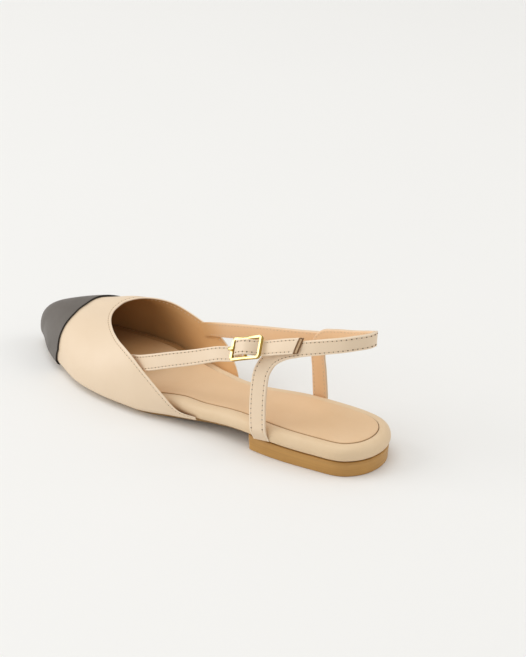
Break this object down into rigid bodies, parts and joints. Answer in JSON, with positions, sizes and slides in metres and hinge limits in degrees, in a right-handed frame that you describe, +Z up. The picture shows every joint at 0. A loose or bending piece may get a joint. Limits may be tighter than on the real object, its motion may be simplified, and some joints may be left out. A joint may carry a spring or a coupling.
{
  "type": "slingback flat shoe",
  "caption": "Left women's flat with a low block heel: pointed closed vamp with a dark toe cap, open waist, and a buckled sling strap round the heel.",
  "frame": {"origin": "on the floor under the middle of the shoe's box", "axes": "+X along the shoe to the toe, +Y to the outer (left) side of the foot, +Z up"},
  "size_m": [0.2613, 0.0752, 0.0799],
  "materials": {
    "heel_stack": "satin, stacked",
    "outsole": "matt",
    "rim_leather": "smooth satin",
    "sock_leather": "smooth matt",
    "upper_leather": "smooth satin",
    "cap_leather": "semi-gloss",
    "strap_leather": "smooth satin",
    "buckle_gilt": "polished gilt"
  },
  "bodies": {
    "root": {"heel": "heel_stack", "outsole": "outsole", "footbed": "rim_leather", "sock": "sock_leather", "vamp": "upper_leather", "toe_cap": "cap_leather", "sling_strap": "strap_leather", "front_strap_lateral": "strap_leather", "front_strap_medial": "strap_leather", "buckle_frame": "buckle_gilt", "buckle_prong": "buckle_gilt"}
  },
  "joints": []
}
